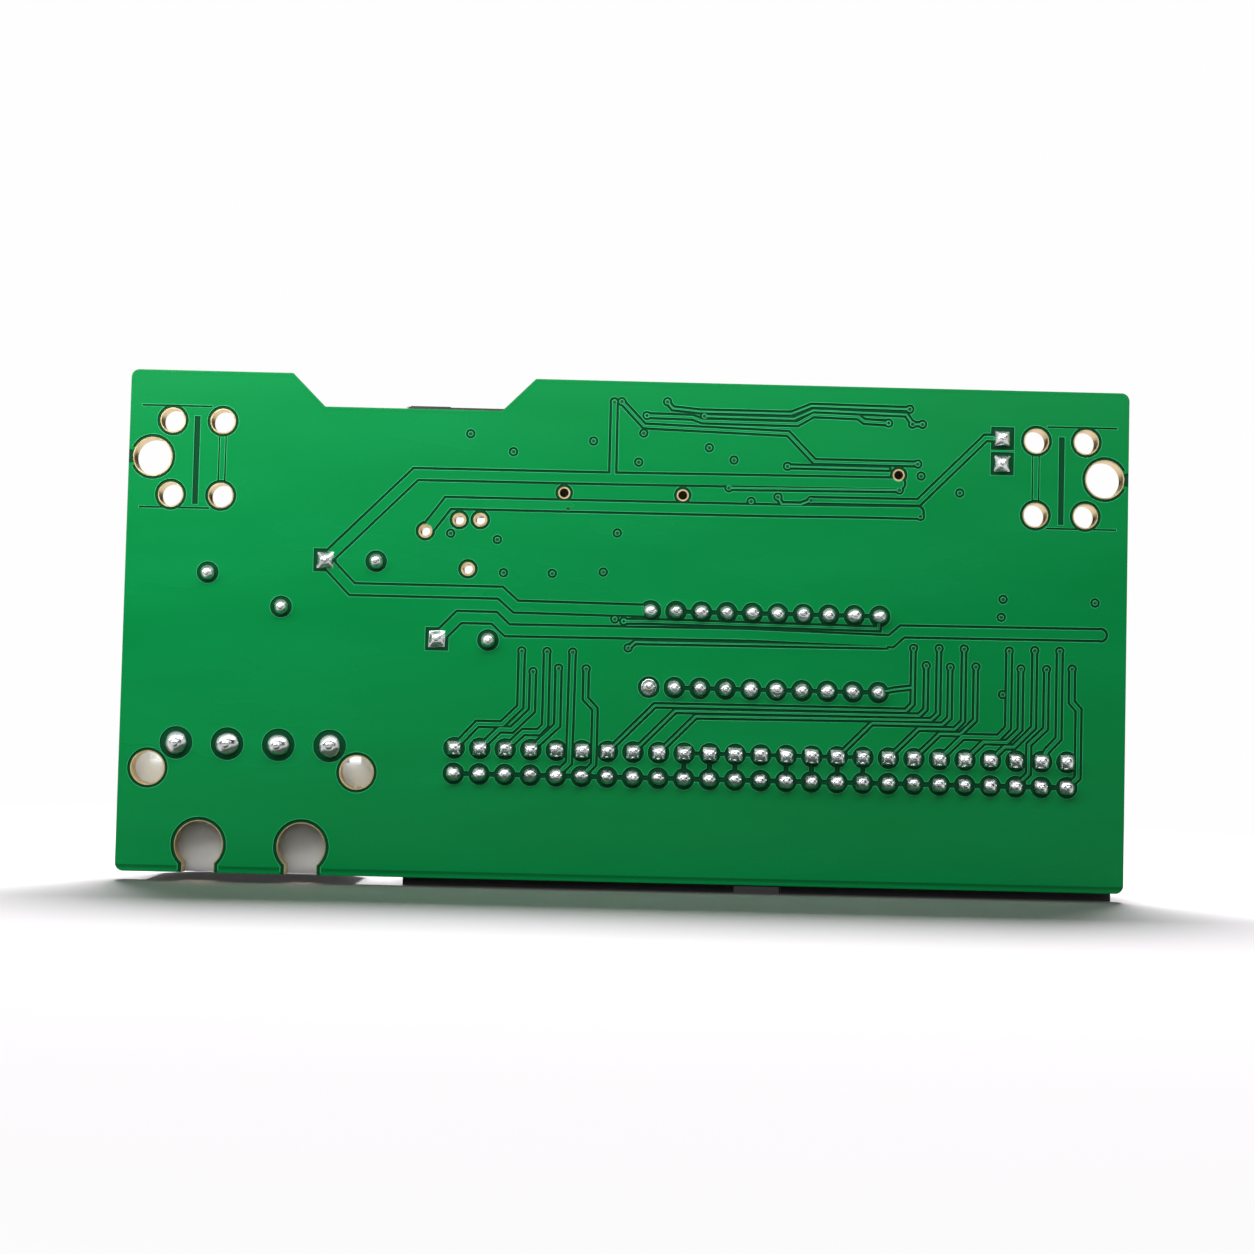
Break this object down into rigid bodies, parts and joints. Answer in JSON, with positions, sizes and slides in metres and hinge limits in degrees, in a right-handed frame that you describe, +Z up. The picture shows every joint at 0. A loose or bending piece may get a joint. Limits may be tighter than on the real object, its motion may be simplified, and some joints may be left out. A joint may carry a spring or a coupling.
{
  "type": "storage card adapter board",
  "caption": "Green circuit board with a two-row box header, a drive power header and a card socket, standing on its header with the solder side to the front.",
  "frame": {"origin": "centre of the bounding box at its base, the plane of the box header's rim", "axes": "+X along the board to the right as seen from its solder side, -Y out of the solder side, +Z up the board"},
  "size_m": [0.1, 0.014, 0.0509],
  "materials": {
    "laminate": "dark green mask over bare laminate, satin gloss",
    "masked_foil": "green solder mask over copper, satin gloss",
    "plating": "thin gold plating",
    "tin": "bright tinned copper",
    "solder": "shiny solder",
    "black_housing": "moulded, matt",
    "gold_pin": "gold flash over brass",
    "natural_nylon": "natural nylon, satin",
    "network_lacquer": "dipped lacquer",
    "can_sleeve": "shrunk sleeve over an aluminium can",
    "seal_rubber": "moulded rubber",
    "fuse_lacquer": "dipped lacquer",
    "nickel_sheet": "nickel-plated sheet",
    "moulded_epoxy": "moulded epoxy",
    "chip_ceramic": "fired ceramic",
    "resistor_glaze": "glazed resistor film",
    "lamp_resin": "clear resin"
  },
  "bodies": {
    "root": {"buffer_bodies": "moulded_epoxy", "buffer_leads": "tin", "capacitor_cans": "can_sleeve", "capacitor_leads": "tin", "capacitor_seals": "seal_rubber", "card_socket_base": "black_housing", "card_socket_contacts": "gold_pin", "card_socket_shell": "nickel_sheet", "chip_capacitors": "chip_ceramic", "chip_end_caps": "tin", "chip_resistors": "resistor_glaze", "component_side_foil": "masked_foil", "controller_body": "moulded_epoxy", "controller_leads": "tin", "crystal_can": "nickel_sheet", "diode_body": "moulded_epoxy", "diode_terminals": "tin", "fuse_body": "fuse_lacquer", "fuse_leads": "tin", "header_joints": "solder", "header_pins": "gold_pin", "header_shroud": "black_housing", "hole_plating": "plating", "jumper_block": "black_housing", "jumper_joints": "solder", "jumper_pins": "gold_pin", "laminate": "laminate", "lead_lands": "tin", "network_bodies": "network_lacquer", "network_contacts": "gold_pin", "network_joints": "solder", "network_leads": "tin", "network_sockets": "black_housing", "power_joints": "solder", "power_pins": "tin", "power_shroud": "natural_nylon", "regulator_body": "moulded_epoxy", "regulator_leads": "tin", "solder_side_foil": "masked_foil", "status_lamp": "lamp_resin", "surface_pads": "tin", "two_lead_joints": "solder", "usb_shell": "nickel_sheet", "usb_tongue": "black_housing"}
  },
  "joints": []
}
